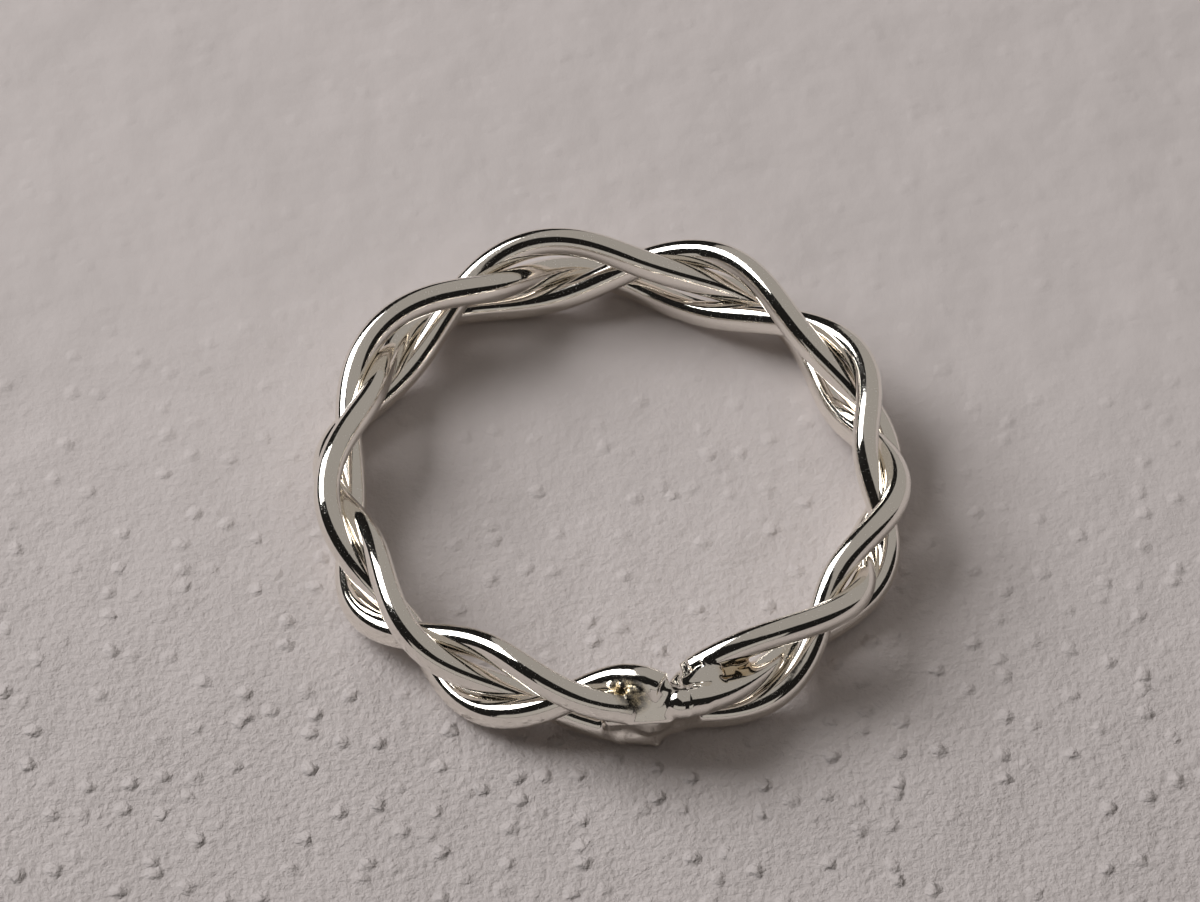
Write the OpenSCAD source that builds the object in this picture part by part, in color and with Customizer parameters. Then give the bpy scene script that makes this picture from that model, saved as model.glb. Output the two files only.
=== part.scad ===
// Braided ring: three flattened silver wires plaited into a flat braid, bent round into a ring
// and soldered together at the front in one rough lump. The ring lies on its side, its axis
// upright, and rests on the lower bends of the wires. All sizes are in millimetres.

/* [Ring] */
// Inner diameter across the finger hollow, between the innermost faces of the wires
finger_d = 17.8; // [14:0.1:22]

/* [Wire] */
// Thickness of a wire across the wall of the band
wire_thick = 0.9; // [0.6:0.02:1.4]
// Width of a wire in the band
wire_wide = 1.06; // [0.7:0.02:1.8]

/* [Braid] */
// How far the middle of a wire rises above and falls below the middle of the band
weave_height = 1.36; // [1.1:0.02:2]
// How far the middle of a wire swings in and out of the middle circle of the band
weave_depth = 0.57; // [0.54:0.01:0.8]
// How straight a wire runs between two bends, low for round waves and high for a zigzag
straightness = 0.56; // [0.1:0.02:0.9]

/* [Solder joint] */
// Clear gap between the cut end of a wire and the solder
solder_gap = 0.04; // [0.02:0.01:0.1]
// How far the tip of the drawn-out drip stands out from the middle circle of the band
drip_out = 0.58; // [0.3:0.02:0.8]

/* [Facets] */
// Facets round a wire
wire_sides = 14; // [10:2:16]
// Facets along a wire from one bend to the next
wire_steps = 19; // [10:1:24]
// Facets round the solder
solder_sides = 12; // [10:2:14]

/* [Hidden] */

// A wire reaches its next bend after one and a half places, and its next like bend after three
BEND_STEP = 1.5;
TURN_PER_PLACE = 120;
// Step either side of a point by which the run of a wire there is found
PROBE = 0.001;

mean_r = finger_d / 2 + wire_thick / 2 + weave_depth;
mid_z = weave_height + wire_wide / 2;
gap_turn = solder_gap / mean_r * 180 / PI;

// Places round the braid, clockwise from the joint. At each place one wire bends over the top
// and, half a place on, another bends under the bottom. The columns are the azimuth of the upper
// bend and of the lower bend, and how far out of the even braid each one is pushed by hand.
UP_AZIMUTH = 0;
LOW_AZIMUTH = 1;
UP_PUSH = 2;
LOW_PUSH = 3;
PLACES = [
    [281, 274, 0.04, 0.02],
    [255, 236, -0.05, 0.06],
    [218, 200, 0.04, 0.06],
    [179, 159, -0.04, 0.02],
    [136, 118, -0.02, 0.03],
    [98, 83, 0.03, -0.07],
    [58, 41, 0.02, 0],
    [20, 2, 0.04, 0.07],
    [-15, -27, 0.03, 0],
    [-46, -66, -0.1, 0.02],
];

// First bend of each wire, counted in places
FIRST_BEND = [0, 1, 0.5];

// Where each wire would run on inside the solder, before its first bend and after its last:
// the place, the azimuth and the push of that point, and the place where the wire is cut
ALONG = 0;
AZIMUTH = 1;
PUSH = 2;
CUT = 3;
STARTS = [
    [-0.3, 286, -0.02, -0.04],
    [0.2, 287.5, 0.1, 0.5],
    [0.25, 288, -0.15, 0.48],
];
FINISHES = [
    [9.6, -74, -0.25, 9.58],
    [9.8, -81, 0.18, 9.6],
    [9.85, -81, 0, 9.58],
];

// Sections along the solder from left to right: the azimuth, the distance out from the middle
// circle and up from the middle of the band, the thickness across the wall and the width.
// The two beads also begin and finish with the section of the wire that is cut there.
OUT = 1;
HEIGHT = 2;
THICK = 3;
WIDE = 4;
UPPER_BEAD = [
    [278, 0.52, 0.44, 0.94, 0.94],
    [280.5, 0.56, 0.36, 0.96, 0.92],
    [283, 0.62, 0.5, 0.94, 0.92],
    [285, 0.66, 0.76, 0.92, 1],
];
LOWER_BEAD = [
    [279, 0.2, -1.3, 1.02, 1.12],
    [282, 0.16, -1.28, 1.04, 1.12],
    [285.5, -0.04, -1.3, 0.96, 1.06],
];
CORE = [
    [276.8, 0.34, -0.4, 0.5, 1.5],
    [279, 0.38, -0.42, 0.98, 1.9],
    [282, 0.38, -0.42, 1.04, 1.9],
    [285.4, 0.28, -0.45, 0.6, 1.6],
];

// Balls whose hulls make the neck up to the top wires and the drip: the azimuth, the distance
// out from the middle circle and up from the middle of the band, and the radius
BALL_R = 3;
NECK = [
    [284.6, 0.18, 1.12, 0.34],
    [284.4, 0.5, 0.45, 0.4],
    [283.8, -0.17, 0.2, 0.34],
];
DRIP = [
    [280.6, 0.2, -1.3, 0.46],
    [279.2, drip_out, -1.66, 0.12],
];

function unit(v) = v / norm(v);

// Point of the band, its distance out counted from the middle circle and its height from the
// middle of the band
function around(azimuth, out, height) =
    [(mean_r + out) * cos(azimuth), (mean_r + out) * sin(azimuth), mid_z + height];

// Row of the table in which x lies, x running along the first column
function row_at(rows, x) =
    max([for (i = [0:len(rows) - 2]) if (i == 0 || rows[i][ALONG] <= x) i]);

function rise(rows, i, column) =
    (rows[i + 1][column] - rows[i][column]) / (rows[i + 1][ALONG] - rows[i][ALONG]);

// Slope of a column at row i, weighted by the steps on both sides of it
function slope(rows, i, column) =
    i == 0 ? rise(rows, 0, column)
    : i == len(rows) - 1 ? rise(rows, i - 1, column)
    : let (before = rows[i][ALONG] - rows[i - 1][ALONG], after = rows[i + 1][ALONG] - rows[i][ALONG])
        (rise(rows, i - 1, column) * after + rise(rows, i, column) * before) / (before + after);

// Smooth curve through a column of a table
function smooth(rows, x, column) =
    let (
        i = row_at(rows, x),
        step = rows[i + 1][ALONG] - rows[i][ALONG],
        t = (x - rows[i][ALONG]) / step
    )
    (2 * t ^ 3 - 3 * t ^ 2 + 1) * rows[i][column]
    + (t ^ 3 - 2 * t ^ 2 + t) * step * slope(rows, i, column)
    + (3 * t ^ 2 - 2 * t ^ 3) * rows[i + 1][column]
    + (t ^ 3 - t ^ 2) * step * slope(rows, i + 1, column);

function bend(place) =
    let (row = PLACES[floor(place)], up = place == floor(place))
    [place, row[up ? UP_AZIMUTH : LOW_AZIMUTH], row[up ? UP_PUSH : LOW_PUSH]];

// Start, bends and finish of a wire, as rows of place, azimuth and push
function course(strand) = concat(
    [STARTS[strand]],
    [for (place = [FIRST_BEND[strand]:BEND_STEP:len(PLACES) - 0.5]) bend(place)],
    [FINISHES[strand]]
);

function strand_point(strand, rows, place) =
    let (turn = TURN_PER_PLACE * (place - strand))
    around(
        smooth(rows, place, AZIMUTH),
        smooth(rows, place, PUSH) - weave_depth * sin(2 * turn),
        weave_height * asin(straightness * cos(turn)) / asin(straightness)
    );

// Section of a wire where it is cut, moved on by a turn, as a row of the solder's tables
function cut_row(strand, ends, turn) =
    let (point = strand_point(strand, course(strand), ends[strand][CUT]))
    [
        atan2(point.y, point.x) + 360 + turn,
        norm([point.x, point.y]) - mean_r,
        point.z - mid_z,
        wire_thick,
        wire_wide
    ];

// A bead from the left cut end of a wire to its right one
function between_cuts(strand, rows) =
    concat([cut_row(strand, STARTS, gap_turn)], rows, [cut_row(strand, FINISHES, -gap_turn)]);

// Oval of a wire or bead at a point, its thin way out from the axis and square to the run
function oval(point, run, thick, wide, sides) =
    let (
        away = unit([point.x, point.y, 0]),
        out = unit(away - (away * run) * run),
        across = cross(run, out)
    )
    [for (j = [0:sides - 1])
        let (angle = 360 * (j + 0.5) / sides)
        point + thick / 2 * cos(angle) * out + wide / 2 * sin(angle) * across];

// Section of a wire moved along its run into the upright plane through its middle and the axis
function cut_upright(section, point, run) =
    let (face = [-point.y, point.x, 0])
    [for (p = section) p + run * ((point - p) * face) / (run * face)];

// Closed skin over a row of ovals
module skin(ovals) {
    sides = len(ovals[0]);
    last = len(ovals) - 1;
    polyhedron(
        points = [for (ring = ovals) each ring],
        faces = concat(
            [[for (j = [0:sides - 1]) j]],
            [for (i = [0:last - 1], j = [0:sides - 1])
                let (next = (j + 1) % sides)
                each [
                    [i * sides + j, (i + 1) * sides + j, (i + 1) * sides + next],
                    [i * sides + j, (i + 1) * sides + next, i * sides + next]
                ]],
            [[for (j = [sides - 1:-1:0]) last * sides + j]]
        )
    );
}

module strand(number) {
    rows = course(number);
    from = STARTS[number][CUT];
    to = FINISHES[number][CUT];
    steps = round((to - from) / BEND_STEP * wire_steps);
    skin([for (i = [0:steps])
        let (
            place = from + (to - from) * i / steps,
            point = strand_point(number, rows, place),
            run = unit(strand_point(number, rows, place + PROBE)
                - strand_point(number, rows, place - PROBE)),
            section = oval(point, run, wire_thick, wire_wide, wire_sides)
        )
        i == 0 || i == steps ? cut_upright(section, point, run) : section]);
}

module bead(rows, steps) {
    from = rows[0][ALONG];
    to = rows[len(rows) - 1][ALONG];
    skin([for (i = [0:steps])
        let (
            azimuth = from + (to - from) * i / steps,
            point = around(azimuth, smooth(rows, azimuth, OUT), smooth(rows, azimuth, HEIGHT)),
            run = [-sin(azimuth), cos(azimuth), 0]
        )
        oval(point, run, smooth(rows, azimuth, THICK), smooth(rows, azimuth, WIDE), solder_sides)]);
}

module balls(rows) {
    hull() {
        for (row = rows) {
            translate(around(row[ALONG], row[OUT], row[HEIGHT]))
                sphere(r = row[BALL_R], $fn = solder_sides);
        }
    }
}

module strand_one() {
    color("silver") strand(0);
}

module strand_two() {
    color("silver") strand(1);
}

module strand_three() {
    color("silver") strand(2);
}

module solder_joint() {
    color("lightgray") union() {
        bead(between_cuts(1, UPPER_BEAD), 14);
        bead(between_cuts(2, LOWER_BEAD), 14);
        bead(CORE, 10);
        balls(NECK);
        balls(DRIP);
    }
}

strand_one();
strand_two();
strand_three();
solder_joint();
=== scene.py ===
"""A braided ring of polished silver wire, lying on a plaster slab in soft studio light.

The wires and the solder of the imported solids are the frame. Each wire is drawn again as a smooth
round-edged wire along the middle line of its solid, and the solder as one rough lump that has run
onto the wires' ends. Lengths are in metres unless a name ends in _MM.
"""

import math

import bmesh
import bpy
import numpy as np
import openvdb
from mathutils import Matrix, Quaternion, Vector


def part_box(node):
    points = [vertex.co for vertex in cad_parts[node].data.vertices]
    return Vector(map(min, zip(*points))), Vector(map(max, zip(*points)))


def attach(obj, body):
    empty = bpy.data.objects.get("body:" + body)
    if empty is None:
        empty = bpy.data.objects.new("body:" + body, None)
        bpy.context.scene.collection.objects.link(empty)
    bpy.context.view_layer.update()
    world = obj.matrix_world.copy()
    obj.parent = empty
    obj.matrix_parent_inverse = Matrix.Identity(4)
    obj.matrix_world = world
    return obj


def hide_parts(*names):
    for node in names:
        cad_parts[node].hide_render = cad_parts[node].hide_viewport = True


MM = 0.001
IMAGE_WIDTH = 1200
IMAGE_HEIGHT = 902

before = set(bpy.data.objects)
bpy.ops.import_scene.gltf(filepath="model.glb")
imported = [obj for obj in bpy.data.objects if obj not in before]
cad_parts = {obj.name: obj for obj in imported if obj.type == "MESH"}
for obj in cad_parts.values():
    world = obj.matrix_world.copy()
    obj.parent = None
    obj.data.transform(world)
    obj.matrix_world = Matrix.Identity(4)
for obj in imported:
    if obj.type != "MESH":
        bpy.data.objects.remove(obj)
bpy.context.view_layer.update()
WIRES = ["strand_one", "strand_two", "strand_three"]
SOLDER = "solder_joint"
BODY = "root"

# Sizes of a wire across the wall of the band and in the band
WIRE_THICK = 0.97 * MM
WIRE_WIDE = 1.12 * MM
# Sharpness of a wire's section: 2 is an oval, more is an oval with flattened sides
WIRE_FLATNESS = 2.15
WIRE_SIDES = 40
# Steps of the smooth wire to each step of its solid
STEPS_PER_RING = 5
# Rounds of looking for the spot on a wire's line that is beside a point
SPOT_ROUNDS = 2
# Added to a number to keep off a division by nothing
TINY = 1e-6
# Corners of a solid closer than this are one corner
WELD = 0.0001 * MM
# An edge of a solid sharper than this is the rim of a cut end
RIM_ANGLE = math.radians(60)

# The melt that ends the wires is worked out on a grid of cells round the joint, and distances from
# a skin are only wanted up to a band of some cells
GRAIN_MM = 0.036
MELT_LOW_MM = (-1.5, -11.4, -0.1)
MELT_HIGH_MM = (7.2, -7.0, 3.95)
BAND_CELLS = 12
FAR_MM = GRAIN_MM * BAND_CELLS

# How far each wire carries on, blunt, inside the solder and how much of it the melt takes in, at
# its left end and at its right end
ENDS_MM = {
    "strand_one": ((0.15, 2.7), (0.35, 3.8)),
    "strand_two": ((0.1, 2.0), (0.1, 3.8)),
    "strand_three": ((0.1, 1.6), (0.1, 1.8)),
}
# At its heart the skin of the melt stands this far proud of the wires, and it dives this deep
# under their skin where no solder has run
PROUD_MM = 0.035
SINK_MM = 0.006
# The solder's solid is the core of the melt and lies this deep in it
CORE_DEPTH_MM = 0.13

# A place in the joint is given by its azimuth in degrees and, in mm, by how far it is out of the
# middle circle of the band and how high above the middle of the band
MIDDLE_RADIUS_MM = 9.92
JOINT_HEART = (281.5, 0.2, 0.0)

# The melt reaches this far from its heart and thins out over the last stretch
MELT_REACH_MM = 2.9
MELT_FADE_MM = 1.6
THINNEST = 0.02
# Fillets between the wires, which thin out with the melt, and in the crevice that solder has filled
FILLET_MM = 0.25
CREVICE_FILLET_MM = 0.5
# Fillets along the runs and round the lumps and pits of solder
RUN_FILLET_MM = 0.2
LUMP_FILLET_MM = 0.08
# Rounding of the edges of the flattened faces
FACE_ROUND_MM = 0.2

# The top right wire has melted away inside this ball: azimuth, out, height and radius
MELTED_AWAY = (286.9, -0.62, 0.45, 0.75)
# What is left of that wire sags towards its end, over this length, this far down and inwards
SAGGED = "strand_one"
SAG_LENGTH_MM = 2.2
SAG_DOWN_MM = 0.28
SAG_IN_MM = 0.1

# Runs of solder from one ball to another: azimuth, out, height and radius of each
RUNS = [
    # Bead from the lower left front wire end to the right front one, which ends in a blunt knob
    ((275.2, 0.53, 0.65, 0.49), (280.5, 0.56, 0.4, 0.4)),
    ((280.5, 0.56, 0.4, 0.4), (285.7, 0.7, 0.86, 0.5)),
    ((285.8, 0.72, 0.94, 0.54), (290.0, 0.67, 0.74, 0.49)),
    # Top left wire running down to the right front one
    ((282.2, 0.13, 1.28, 0.44), (284.4, 0.16, 0.7, 0.4)),
    # Slumped end of the top right wire
    ((289.0, -0.78, -0.1, 0.42), (285.2, -0.2, 0.1, 0.34)),
    # Fill of the crevice between the two right-hand wires
    ((293.5, -0.15, 0.45, 0.42), (300.5, -0.3, 0.3, 0.3)),
    # Bead along the bottom
    ((275.1, 0.06, -1.36, 0.5), (282.0, 0.1, -1.3, 0.45)),
    ((282.0, 0.1, -1.3, 0.45), (286.5, -0.05, -1.25, 0.45)),
    ((286.5, -0.05, -1.25, 0.45), (290.7, -0.17, -1.34, 0.5)),
    # Drip drawn out of the bottom left wire
    ((275.1, 0.06, -1.36, 0.52), (281.8, 0.56, -1.66, 0.1)),
    ((281.8, 0.3, -1.4, 0.35), (281.8, 0.56, -1.66, 0.1)),
]

# Flattened faces: azimuth, out and height of the middle of the face; the azimuth and elevation that
# it faces; half its length, half its breadth and its depth; and the fillet round it
FACES = [
    # Filed flat between the two right-hand wire ends, and the steps down at its right end
    ((291.4, 0.0, 1.04), (291, 85), (0.72, 0.64, 0.8), 0.24),
    ((295.2, 0.03, 0.9), (300, 52), (0.26, 0.34, 0.5), 0.14),
    ((297.2, -0.14, 0.78), (300, 84), (0.4, 0.45, 0.5), 0.14),
    # Front of the lump
    ((279.8, 0.8, 1.06), (278, 38), (0.85, 0.72, 0.8), 0.16),
    # Webs under the lump and under the left front wire
    ((285.0, 0.45, -0.5), (285, -8), (1.0, 0.95, 0.7), 0.2),
    ((276.8, 0.5, -0.72), (277, -12), (1.0, 0.55, 0.7), 0.2),
]

# Facets cut off the melt inside a ball: azimuth, out and height of the ball's middle, which the
# facet runs through; the azimuth and elevation that the facet faces; and the radius of the ball
CUTS = [
    # Left end of the filed flat and of the top right wire
    ((287.3, -0.25, 0.86), (150, 58), 0.95),
    ((288.9, -0.9, 0.48), (180, 48), 0.62),
]

# Balls round the rough crater that the polishing wheel could not reach, round the crevice that
# solder has filled, and round the painted warm reflection in it: azimuth, out, height and radius
CRATER = (276.6, 0.1, 1.0, 0.95)
CREVICE = (301.0, -0.3, 0.5, 1.4)
PAINTED_SHEEN_BALL = (299.5, -0.25, 0.35, 1.05)
# Share of a ball's radius inside which a finish has its full strength
FULL_SHARE = 0.6

# Lumps and pits of the solder: azimuth, out, height and radius
LUMPS = [
    # Bed of the crater
    (276.4, -0.05, 0.85, 0.34),
    (279.0, 0.05, 0.72, 0.34),
    # Beads in it
    (272.2, 0.0, 1.32, 0.12),
    (274.4, 0.03, 1.38, 0.11),
    (276.3, 0.1, 1.2, 0.11),
    (280.2, 0.2, 0.95, 0.1),
    (273.5, 0.2, 0.95, 0.1),
    # Beads beside the end of the top left wire
    (283.0, 0.18, 1.32, 0.14),
    (284.0, 0.28, 1.15, 0.1),
]
PITS = [
    # Hollows of the crater
    (276.8, 0.3, 1.05, 0.32),
    (278.6, 0.38, 1.0, 0.2),
    (274.7, 0.2, 1.08, 0.14),
    # Burst bubble in a bead
    (284.0, 0.34, 1.22, 0.05),
]

lowest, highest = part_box(WIRES[0])
band_middle = Vector((0, 0, (lowest.z + highest.z) / 2))


def around(azimuth, out, height):
    """Point in mm of a place in the joint."""
    a = math.radians(azimuth)
    r = MIDDLE_RADIUS_MM + out
    return np.array([r * math.cos(a), r * math.sin(a), band_middle.z / MM + height])


def facing(azimuth, elevation):
    """Unit vector towards an azimuth and an elevation in degrees."""
    a = math.radians(azimuth)
    e = math.radians(elevation)
    return np.array([math.cos(a) * math.cos(e), math.sin(a) * math.cos(e), math.sin(e)])


def linear(hex_colour):
    """Linear RGBA of an sRGB hex colour."""
    channels = [int(hex_colour[i : i + 2], 16) / 255 for i in (1, 3, 5)]
    return tuple(
        c / 12.92 if c <= 0.04045 else ((c + 0.055) / 1.055) ** 2.4 for c in channels
    ) + (1.0,)


def add_node(tree, kind, settings=None, links=None):
    """Adds a shader node. Settings are values by the name of an attribute or the name or number of
    an input, and links are outputs by the name or number of the input that they feed."""
    node = tree.nodes.new(kind)
    for name, value in (settings or {}).items():
        if isinstance(name, str) and hasattr(node, name):
            setattr(node, name, value)
        else:
            node.inputs[name].default_value = value
    for name, output in (links or {}).items():
        tree.links.new(output, node.inputs[name])
    return node


def new_material(name):
    """An empty material, and the tree that its nodes go in."""
    material = bpy.data.materials.new(name)
    material.use_nodes = True
    material.node_tree.nodes.clear()
    return material, material.node_tree


def show_surface(tree, shader):
    """Gives a material its shader."""
    add_node(tree, "ShaderNodeOutputMaterial", links={"Surface": shader.outputs[0]})


def in_millimetres(tree):
    """Place on the piece in mm, so that a pattern's scale is a number of cells to the mm."""
    place = add_node(tree, "ShaderNodeTexCoord")
    return add_node(
        tree,
        "ShaderNodeMapping",
        {"Scale": (1 / MM, 1 / MM, 1 / MM)},
        {"Vector": place.outputs["Object"]},
    )


def hand_polish(tree, place):
    """Roughness and normal of silver polished by hand on a felt wheel."""
    # Patches about 1 mm across where handling has dulled the shine
    haze = add_node(
        tree,
        "ShaderNodeTexNoise",
        {"Scale": 0.9, "Detail": 5.0, "Roughness": 0.65},
        {"Vector": place.outputs[0]},
    )
    dull = add_node(
        tree,
        "ShaderNodeMapRange",
        {"From Min": 0.42, "From Max": 0.75, "To Min": 0.05, "To Max": 0.12},
        {"Value": haze.outputs["Fac"]},
    )
    # Specks of 0.05 mm that the wheel has not reached, which show in the dark reflections
    specks = add_node(
        tree,
        "ShaderNodeTexNoise",
        {"Scale": 18.0, "Detail": 2.0, "Roughness": 0.6},
        {"Vector": place.outputs[0]},
    )
    specked = add_node(
        tree,
        "ShaderNodeMapRange",
        {"From Min": 0.6, "From Max": 0.72, "To Min": 0.0, "To Max": 0.25},
        {"Value": specks.outputs["Fac"]},
    )
    roughness = add_node(
        tree,
        "ShaderNodeMath",
        {"operation": "ADD"},
        {0: dull.outputs[0], 1: specked.outputs[0]},
    )
    # Waves of hand finishing about 0.6 mm long
    waves = add_node(
        tree,
        "ShaderNodeTexNoise",
        {"Scale": 1.7, "Detail": 2.0, "Roughness": 0.5},
        {"Vector": place.outputs[0]},
    )
    wave_bump = add_node(
        tree,
        "ShaderNodeBump",
        {"Strength": 0.35, "Distance": 0.012 * MM},
        {"Height": waves.outputs["Fac"]},
    )
    speck_bump = add_node(
        tree,
        "ShaderNodeBump",
        {"Strength": 0.3, "Distance": 0.001 * MM},
        {"Height": specks.outputs["Fac"], "Normal": wave_bump.outputs[0]},
    )
    return roughness, speck_bump


def polished_silver_wire():
    """Sterling silver wire, drawn, rolled a little flat and polished on a wheel: a bright warm
    mirror with a faint haze and fine specks."""
    material, tree = new_material("polished_silver_wire")
    roughness, normal = hand_polish(tree, in_millimetres(tree))
    shader = add_node(
        tree,
        "ShaderNodeBsdfPrincipled",
        {"Base Color": linear("#F9F4EC"), "Metallic": 1.0},
        {"Roughness": roughness.outputs[0], "Normal": normal.outputs[0]},
    )
    show_surface(tree, shader)
    return material


def inside_ball(tree, place, azimuth, out, height, radius):
    """Factor that is 1 near the middle of a ball in the joint and fades to 0 at its skin."""
    gap = add_node(
        tree,
        "ShaderNodeVectorMath",
        {"operation": "DISTANCE", 1: tuple(around(azimuth, out, height))},
        {0: place.outputs[0]},
    )
    return add_node(
        tree,
        "ShaderNodeMapRange",
        {"From Min": radius, "From Max": radius * FULL_SHARE, "To Min": 0.0, "To Max": 1.0},
        {"Value": gap.outputs["Value"]},
    )


def melted_silver_solder():
    """Silver solder that has run, frozen and been polished with the wires: the same bright mirror,
    but frosted, pitted and blotched with grey, partly slag and partly painted shade of the hollow,
    and with warm silver in the crater that the wheel could not reach, and tinted tan in the crevice
    as a painted warm reflection."""
    material, tree = new_material("melted_silver_solder")
    place = in_millimetres(tree)
    roughness, normal = hand_polish(tree, place)
    in_crater = inside_ball(tree, place, *CRATER)
    # Ball inside which a tan tint is a painted warm reflection of the crevice
    in_painted_sheen = inside_ball(tree, place, *PAINTED_SHEEN_BALL)
    # Frost that the flux has left, in flakes of 0.25 mm
    frost = add_node(
        tree,
        "ShaderNodeTexNoise",
        {"Scale": 4.0, "Detail": 5.0, "Roughness": 0.7},
        {"Vector": place.outputs[0]},
    )
    frosted = add_node(
        tree,
        "ShaderNodeMapRange",
        {"From Min": 0.35, "From Max": 0.65, "To Min": 0.06, "To Max": 0.32},
        {"Value": frost.outputs["Fac"]},
    )
    finish = add_node(
        tree,
        "ShaderNodeMix",
        {},
        {0: in_crater.outputs[0], 2: roughness.outputs[0], 3: frosted.outputs[0]},
    )
    # Blotches of grey, partly slag and partly painted shade of the crater's hollow, and of warm
    # silver in the crater, and a tan painted warm reflection at the edge of the crevice
    blotch = add_node(
        tree,
        "ShaderNodeMapRange",
        {"From Min": 0.42, "From Max": 0.6, "To Min": 0.0, "To Max": 1.0},
        {"Value": frost.outputs["Fac"]},
    )
    # The grey in these blotches is partly slag and partly painted shade of the crater's hollow
    slag_shade_blotches = add_node(
        tree,
        "ShaderNodeMix",
        {"data_type": "RGBA", 6: linear("#6F6A62"), 7: linear("#E2D2B0")},
        {0: blotch.outputs[0]},
    )
    rough_tint = add_node(
        tree,
        "ShaderNodeMix",
        {"data_type": "RGBA", 6: linear("#F9F4EC")},
        {0: in_crater.outputs[0], 7: slag_shade_blotches.outputs[2]},
    )
    # Painted warm reflection in the crevice, laid on as a tan tint of the base colour
    tint = add_node(
        tree,
        "ShaderNodeMix",
        {"data_type": "RGBA", 7: linear("#E2CFB2")},
        {0: in_painted_sheen.outputs[0], 6: rough_tint.outputs[2]},
    )
    # The frost is rough to the touch, up to 0.06 mm deep
    pit_depth = add_node(
        tree,
        "ShaderNodeMath",
        {"operation": "MULTIPLY"},
        {0: in_crater.outputs[0], 1: frost.outputs["Fac"]},
    )
    pit_bump = add_node(
        tree,
        "ShaderNodeBump",
        {"Strength": 0.7, "Distance": 0.06 * MM},
        {"Height": pit_depth.outputs[0], "Normal": normal.outputs[0]},
    )
    shader = add_node(
        tree,
        "ShaderNodeBsdfPrincipled",
        {"Metallic": 1.0},
        {
            "Base Color": tint.outputs[2],
            "Roughness": finish.outputs[0],
            "Normal": pit_bump.outputs[0],
        },
    )
    show_surface(tree, shader)
    return material


def trowelled_plaster():
    """Gypsum plaster spread with a trowel: pale and chalky, smooth in broad swells, with small
    crumbs that the trowel has dragged over it, thickest towards the front."""
    material, tree = new_material("trowelled_plaster")
    place = in_millimetres(tree)
    # Clouds of paler and darker plaster about 8 mm across
    cloud = add_node(
        tree,
        "ShaderNodeTexNoise",
        {"Scale": 0.12, "Detail": 3.0, "Roughness": 0.5},
        {"Vector": place.outputs[0]},
    )
    colour = add_node(
        tree,
        "ShaderNodeMix",
        {"data_type": "RGBA", 6: linear("#CDC5C3"), 7: linear("#D7CECC")},
        {0: cloud.outputs["Fac"]},
    )
    # From smooth behind the ring to rough in front of it
    sides = add_node(tree, "ShaderNodeSeparateXYZ", {}, {"Vector": place.outputs[0]})
    in_front = add_node(
        tree,
        "ShaderNodeMapRange",
        {"From Min": 9.0, "From Max": -12.0, "To Min": 0.1, "To Max": 1.0},
        {"Value": sides.outputs["Y"]},
    )
    # Ragged crumbs up to 0.7 mm across, one to a cell of 1.3 mm, a third of the cells left empty
    wobble = add_node(
        tree,
        "ShaderNodeTexNoise",
        {"Scale": 2.2, "Detail": 2.0, "Roughness": 0.5},
        {"Vector": place.outputs[0]},
    )
    shaken = add_node(
        tree,
        "ShaderNodeVectorMath",
        {"operation": "MULTIPLY_ADD", 1: (0.3, 0.3, 0.0)},
        {0: wobble.outputs["Color"], 2: place.outputs[0]},
    )
    cells = add_node(
        tree,
        "ShaderNodeTexVoronoi",
        {"voronoi_dimensions": "2D", "Scale": 0.8},
        {"Vector": shaken.outputs[0]},
    )
    crumb = add_node(
        tree,
        "ShaderNodeMapRange",
        {
            "interpolation_type": "SMOOTHSTEP",
            "From Min": 0.3,
            "From Max": 0.04,
            "To Min": 0.0,
            "To Max": 1.0,
        },
        {"Value": cells.outputs["Distance"]},
    )
    pick = add_node(tree, "ShaderNodeSeparateColor", {}, {"Color": cells.outputs["Color"]})
    kept = add_node(
        tree,
        "ShaderNodeMapRange",
        {"From Min": 0.35, "From Max": 0.9, "To Min": 0.0, "To Max": 1.0},
        {"Value": pick.outputs[0]},
    )
    crumbs = add_node(
        tree,
        "ShaderNodeMath",
        {"operation": "MULTIPLY"},
        {0: crumb.outputs[0], 1: kept.outputs[0]},
    )
    # Swells of the trowel about 3 mm long, and a grain of 0.3 mm
    swells = add_node(
        tree,
        "ShaderNodeTexNoise",
        {"Scale": 0.3, "Detail": 2.5, "Roughness": 0.45},
        {"Vector": place.outputs[0]},
    )
    grain = add_node(
        tree,
        "ShaderNodeTexNoise",
        {"Scale": 3.0, "Detail": 5.0, "Roughness": 0.6},
        {"Vector": place.outputs[0]},
    )
    swell_bump = add_node(
        tree,
        "ShaderNodeBump",
        {"Strength": 0.5, "Distance": 0.5 * MM},
        {"Height": swells.outputs["Fac"]},
    )
    crumb_bump = add_node(
        tree,
        "ShaderNodeBump",
        {"Distance": 0.16 * MM},
        {
            "Height": crumbs.outputs[0],
            "Strength": in_front.outputs[0],
            "Normal": swell_bump.outputs[0],
        },
    )
    grain_bump = add_node(
        tree,
        "ShaderNodeBump",
        {"Distance": 0.16 * MM},
        {
            "Height": grain.outputs["Fac"],
            "Strength": in_front.outputs[0],
            "Normal": crumb_bump.outputs[0],
        },
    )
    shader = add_node(
        tree,
        "ShaderNodeBsdfPrincipled",
        {"Roughness": 0.85, "Specular IOR Level": 0.25},
        {"Base Color": colour.outputs[2], "Normal": grain_bump.outputs[0]},
    )
    show_surface(tree, shader)
    return material


def new_piece(name, mesh, material, slot, *replaced):
    """Puts a mesh in the scene as a piece of the ring that stands for solids of the frame."""
    piece = bpy.data.objects.new(name, mesh)
    bpy.context.scene.collection.objects.link(piece)
    mesh.materials.append(material)
    for face in mesh.polygons:
        face.use_smooth = True
    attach(piece, BODY)
    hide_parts(*replaced)


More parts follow.
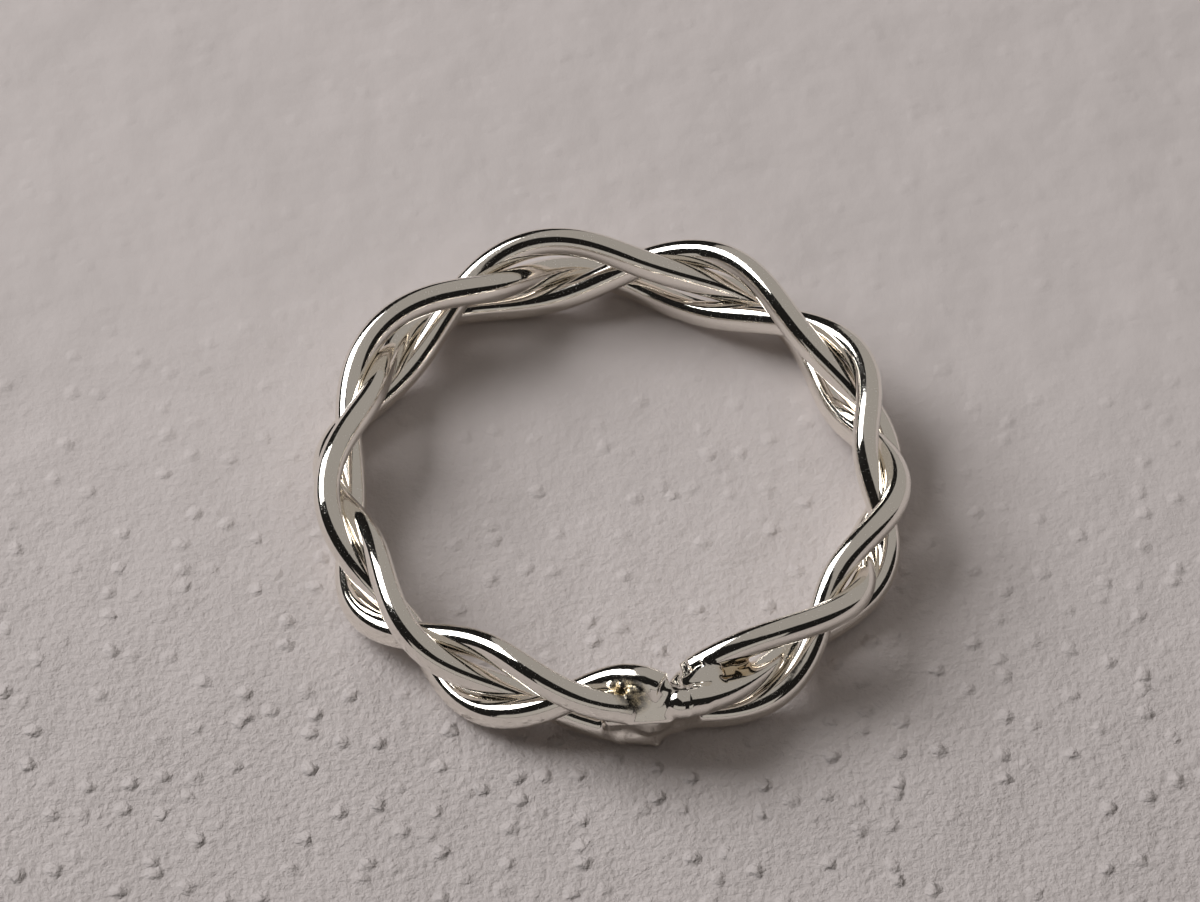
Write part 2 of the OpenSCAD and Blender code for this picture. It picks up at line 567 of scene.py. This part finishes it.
def ring_centres(solid):
    """Middle of each ring of corners of a wire's solid, from cut end to cut end."""
    mesh = bmesh.new()
    mesh.from_mesh(solid.data)
    bmesh.ops.remove_doubles(mesh, verts=mesh.verts, dist=WELD)
    mesh.verts.index_update()
    rim = [e for e in mesh.edges if e.calc_face_angle(0) > RIM_ANGLE]
    ring = {rim[0].verts[0]}
    growing = True
    while growing:
        beside = {e.other_vert(v) for v in ring for e in v.link_edges if e in rim}
        growing = not beside <= ring
        ring |= beside
    seen = set(ring)
    centres = []
    while ring:
        # Always added up in the same order, so that each run gives the same wire to the last digit
        corners = sorted(ring, key=lambda v: v.index)
        centres.append(sum((v.co for v in corners), Vector()) / len(corners))
        ring = {e.other_vert(v) for v in ring for e in v.link_edges} - seen
        seen |= ring
    mesh.free()
    return centres


def smooth_line(points, steps):
    """The points with further ones between them, on a smooth curve through all of them."""
    ends = [2 * points[0] - points[1], *points, 2 * points[-1] - points[-2]]
    line = []
    for i in range(1, len(ends) - 2):
        before, here, there, after = ends[i - 1 : i + 3]
        for step in range(steps):
            t = step / steps
            line.append(
                0.5
                * (
                    2 * here
                    + (there - before) * t
                    + (2 * before - 5 * here + 4 * there - after) * t**2
                    + (3 * here - before - 3 * there + after) * t**3
                )
            )
    return np.array([*line, points[-1]])


def lengths_along(line):
    """Distance of each point of a line from its first point."""
    return np.concatenate([[0], np.cumsum(np.linalg.norm(np.diff(line, axis=0), axis=1))])


def unit_rows(rows):
    """Each row as a vector of length 1."""
    return rows / np.linalg.norm(rows, axis=1, keepdims=True)


def section_frames(line):
    """At each point of a wire's line, the ways out from the ring's axis and across the wire."""
    run = unit_rows(np.gradient(line, axis=0))
    away = unit_rows(line * (1, 1, 0))
    out = unit_rows(away - (away * run).sum(1, keepdims=True) * run)
    return out, np.cross(run, out)


def wire_mesh(name, line):
    """Skin of a wire round its line."""
    out, across = section_frames(line)
    angles = np.arange(WIRE_SIDES) * 2 * math.pi / WIRE_SIDES
    power = 2 / WIRE_FLATNESS
    spot_out = np.sign(np.cos(angles)) * np.abs(np.cos(angles)) ** power
    spot_across = np.sign(np.sin(angles)) * np.abs(np.sin(angles)) ** power
    corners = (
        line[:, None]
        + WIRE_THICK / 2 * spot_out[None, :, None] * out[:, None]
        + WIRE_WIDE / 2 * spot_across[None, :, None] * across[:, None]
    )
    rings = len(line)
    faces = [tuple(range(WIRE_SIDES - 1, -1, -1))]
    for i in range(rings - 1):
        for side in range(WIRE_SIDES):
            here = i * WIRE_SIDES + side
            after = i * WIRE_SIDES + (side + 1) % WIRE_SIDES
            faces.append((here, after, after + WIRE_SIDES, here + WIRE_SIDES))
    faces.append(tuple((rings - 1) * WIRE_SIDES + side for side in range(WIRE_SIDES)))
    mesh = bpy.data.meshes.new(name)
    mesh.from_pydata(corners.reshape(-1, 3).tolist(), [], faces)
    mesh.validate()
    return mesh


def sagged(line):
    """A wire's line with its right end let down, as the heat of the joint has done."""
    from_end = lengths_along(line[::-1])[::-1] / MM
    share = np.clip(1 - from_end / SAG_LENGTH_MM, 0, 1)[:, None] ** 2
    away = unit_rows(line * (1, 1, 0))
    return line - share * (SAG_IN_MM * MM * away + (0, 0, SAG_DOWN_MM * MM))


def make_wires(material):
    """Puts the three wires in the scene and gives the line of each, from its left cut end to its
    right one."""
    lines = {}
    for name in WIRES:
        line = smooth_line(ring_centres(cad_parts[name]), STEPS_PER_RING)
        if line[0][0] > line[-1][0]:
            line = line[::-1]
        line = line[ball_field(line / MM, *MELTED_AWAY) > 0]
        if name == SAGGED:
            line = sagged(line)
        new_piece(f"{name}_wire", wire_mesh(name, line), material, "silver_wire", name)
        lines[name] = line
    return lines


def melt(field, other, reach):
    """Joins two distance fields with a fillet as wide as the reach."""
    mix = np.clip(0.5 + 0.5 * (other - field) / reach, 0, 1)
    return other * (1 - mix) + field * mix - reach * mix * (1 - mix)


def between(rows, spots):
    """Values at spots between the rows of an array."""
    below = np.minimum(spots.astype(int), len(rows) - 2)
    share = (spots - below)[:, None]
    return rows[below] * (1 - share) + rows[below + 1] * share


def wire_field(points, line):
    """Distance in mm of points from the skin of a wire round its line, where it is near."""
    reach = WIRE_WIDE / MM / 2 + FAR_MM
    close = np.all((points > line.min(0) - reach) & (points < line.max(0) + reach), axis=1)
    near = points[close]
    out, across = section_frames(line)
    # The spot on the line beside each point, first as the nearest row and then between the rows
    gaps = np.stack([((near - centre) ** 2).sum(1) for centre in line])
    spot = gaps.argmin(0).astype(float)
    step = np.gradient(line, axis=0)
    for _ in range(SPOT_ROUNDS):
        way = between(step, spot)
        ahead = ((near - between(line, spot)) * way).sum(1) / (way**2).sum(1)
        spot = np.clip(spot + ahead, 0, len(line) - 1)
    offset = near - between(line, spot)
    # Place in the section as a share of its half thickness and half width, 1 on the skin
    x = (offset * between(out, spot)).sum(1) / (WIRE_THICK / MM / 2)
    y = (offset * between(across, spot)).sum(1) / (WIRE_WIDE / MM / 2)
    ratio = (np.abs(x) ** WIRE_FLATNESS + np.abs(y) ** WIRE_FLATNESS) ** (1 / WIRE_FLATNESS) + TINY
    side = np.hypot(x * WIRE_THICK / MM / 2, y * WIRE_WIDE / MM / 2) * (1 - 1 / ratio)
    beyond_end = (spot == 0) | (spot == len(line) - 1)
    past = np.abs((offset * unit_rows(between(step, spot))).sum(1)) * beyond_end
    field = np.full(len(points), FAR_MM)
    field[close] = np.where(past > 0, np.hypot(np.maximum(side, 0), past), side)
    return field


def solid_field(solid, low, shape):
    """Distance in mm from the skin of a solid, on the grid of the melt."""
    mesh = solid.data
    mesh.calc_loop_triangles()
    corners = np.array([v.co for v in mesh.vertices]) / MM
    triangles = np.array([t.vertices[:] for t in mesh.loop_triangles], dtype=np.uint32)
    scale = openvdb.createLinearTransform(voxelSize=GRAIN_MM)
    grid = openvdb.FloatGrid.createLevelSetFromPolygons(
        (corners - low).astype(np.float32),
        triangles=triangles,
        transform=scale,
        halfWidth=BAND_CELLS,
    )
    field = np.full(shape, FAR_MM, dtype=np.float32)
    grid.copyToArray(field)
    return field.astype(float).ravel()


def ball_field(points, azimuth, out, height, radius):
    """Distance from a ball."""
    return np.linalg.norm(points - around(azimuth, out, height), axis=1) - radius


def run_field(points, first, last):
    """Distance from a run of solder that tapers from one ball to another."""
    *first_place, first_radius = first
    *last_place, last_radius = last
    start = around(*first_place)
    way = around(*last_place) - start
    share = np.clip((points - start) @ way / (way @ way), 0, 1)
    radius = first_radius + (last_radius - first_radius) * share
    return np.linalg.norm(points - start - share[:, None] * way, axis=1) - radius


def face_field(points, place, towards, sizes):
    """Distance from a block of solder, its edges rounded, under a flattened face."""
    half_length, half_breadth, depth = sizes
    normal = facing(*towards)
    along = np.cross((0, 0, 1), facing(towards[0], 0))
    breadth = np.cross(normal, along)
    offset = points - around(*place) + normal * depth / 2
    half = np.array([half_length, half_breadth, depth / 2])
    in_block = np.stack([offset @ along, offset @ breadth, offset @ normal], 1)
    beyond = np.abs(in_block) - half + FACE_ROUND_MM
    outside = np.linalg.norm(np.maximum(beyond, 0), axis=1)
    return outside + np.minimum(beyond.max(1), 0) - FACE_ROUND_MM


def cut_field(points, place, towards, radius):
    """Distance from what a cut takes off, the part of a ball that lies beyond the facet."""
    beyond = (points - around(*place)) @ facing(*towards)
    return np.maximum(-beyond, ball_field(points, *place, radius))


def make_joint(lines, material):
    """The solder and the wires' last stretch, as one skin with fillets where solder has run."""
    low = np.array(MELT_LOW_MM)
    shape = tuple(int(n) for n in (np.array(MELT_HIGH_MM) - low) / GRAIN_MM)
    axes = [low[i] + GRAIN_MM * np.arange(shape[i]) for i in range(3)]
    points = np.stack(np.meshgrid(*axes, indexing="ij"), -1).reshape(-1, 3)
    from_heart = np.linalg.norm(points - around(*JOINT_HEART), axis=1)
    flow = np.clip((MELT_REACH_MM - from_heart) / MELT_FADE_MM, THINNEST, 1)
    in_crevice = np.clip(-ball_field(points, *CREVICE), 0, 1)
    fillet = np.maximum(FILLET_MM * flow, CREVICE_FILLET_MM * in_crevice)
    field = solid_field(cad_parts[SOLDER], low, shape) + CORE_DEPTH_MM
    for name, line in lines.items():
        for way, (blunt, wetted) in zip((line / MM, line[::-1] / MM), ENDS_MM[name]):
            taken = way[lengths_along(way) < wetted]
            tip = taken[0] + blunt * unit_rows(taken[:1] - taken[1:2])
            wire = wire_field(points, np.vstack([tip, taken]))
            field = melt(field, wire - PROUD_MM * flow, fillet)
    for first, last in RUNS:
        field = melt(field, run_field(points, first, last), RUN_FILLET_MM)
    for place, towards, sizes, edge in FACES:
        field = melt(field, face_field(points, place, towards, sizes), edge)
    for cut in CUTS:
        field = -melt(-field, cut_field(points, *cut), LUMP_FILLET_MM)
    for lump in LUMPS:
        field = melt(field, ball_field(points, *lump), LUMP_FILLET_MM)
    for pit in PITS:
        field = -melt(-field, ball_field(points, *pit), LUMP_FILLET_MM)
    grid = openvdb.FloatGrid(FAR_MM)
    grid.copyFromArray((field + SINK_MM).reshape(shape).astype(np.float32))
    grid.transform = openvdb.createLinearTransform(voxelSize=GRAIN_MM)
    corners, quads = grid.convertToQuads(0)
    mesh = bpy.data.meshes.new("melted_joint")
    mesh.from_pydata(((corners + low) * MM).tolist(), [], quads.tolist())
    mesh.validate()
    new_piece("melted_joint", mesh, material, "silver_solder", SOLDER)


def make_floor(material):
    """Slab that the ring lies on."""
    half = 200 * MM
    mesh = bpy.data.meshes.new("plaster_slab")
    mesh.from_pydata(
        [(-half, -half, 0), (half, -half, 0), (half, half, 0), (-half, half, 0)],
        [],
        [(0, 1, 2, 3)],
    )
    mesh.materials.append(material)
    slab = bpy.data.objects.new("plaster_slab", mesh)
    bpy.context.scene.collection.objects.link(slab)


def add_softbox(name, azimuth, elevation, distance, width, height, watts, colour="#FFFFFF", turn=0):
    """A rectangular soft light that faces the ring, turned in degrees about the way it faces."""
    light = bpy.data.lights.new(name, "AREA")
    light.shape = "RECTANGLE"
    light.size = width
    light.size_y = height
    light.energy = watts
    light.color = linear(colour)[:3]
    lamp = bpy.data.objects.new(name, light)
    bpy.context.scene.collection.objects.link(lamp)
    away = Vector(facing(azimuth, elevation))
    lamp.location = band_middle + away * distance
    lamp.rotation_mode = "QUATERNION"
    towards_ring = away.to_track_quat("Z", "Y")
    lamp.rotation_quaternion = towards_ring @ Quaternion((0, 0, 1), math.radians(turn))


def set_world(hex_colour, strength):
    """The dim room round the softboxes."""
    world = bpy.data.worlds.new("dim_room")
    world.use_nodes = True
    background = world.node_tree.nodes["Background"]
    background.inputs["Color"].default_value = linear(hex_colour)
    background.inputs["Strength"].default_value = strength
    bpy.context.scene.world = world


def set_camera():
    """Camera above the front of the ring, looking down on it, a little turned about its axis."""
    elevation = 54.1
    distance = 234 * MM
    focal_px = 6388
    centre_px = (610, 481)
    turn = math.radians(2.88)
    sensor = 36.0
    back = Vector(facing(-90, elevation))
    right = Vector((1, 0, 0))
    up = back.cross(right)
    camera = bpy.data.cameras.new("camera")
    camera.sensor_width = sensor
    camera.lens = focal_px / IMAGE_WIDTH * sensor
    camera.shift_x = (IMAGE_WIDTH / 2 - centre_px[0]) / IMAGE_WIDTH
    camera.shift_y = (centre_px[1] - IMAGE_HEIGHT / 2) / IMAGE_WIDTH
    camera.clip_start = distance / 100
    camera.clip_end = distance * 20
    holder = bpy.data.objects.new("camera", camera)
    bpy.context.scene.collection.objects.link(holder)
    turned_right = right * math.cos(turn) + up * math.sin(turn)
    turned_up = up * math.cos(turn) - right * math.sin(turn)
    place = Matrix((turned_right, turned_up, back)).transposed().to_4x4()
    place.translation = band_middle + back * distance
    holder.matrix_world = place
    bpy.context.scene.camera = holder


wire_lines = make_wires(polished_silver_wire())
make_joint(wire_lines, melted_silver_solder())
make_floor(trowelled_plaster())

set_world("#3A3836", 0.25)
# Key light, which makes the bright lines along the left-hand wires and the shadow at the right
add_softbox("left_softbox", 157, 39, 600 * MM, 380 * MM, 400 * MM, 3.3, turn=16)
# Pale surfaces that the tops and the front flanks of the wires mirror, with black room between them
add_softbox("grey_ceiling", 50, 49, 900 * MM, 1800 * MM, 2480 * MM, 5.0, "#F0EAE3")
add_softbox("front_card", 265, 14, 500 * MM, 800 * MM, 230 * MM, 0.24, "#F0EAE3")
set_camera()
bpy.context.scene.view_settings.view_transform = "Standard"
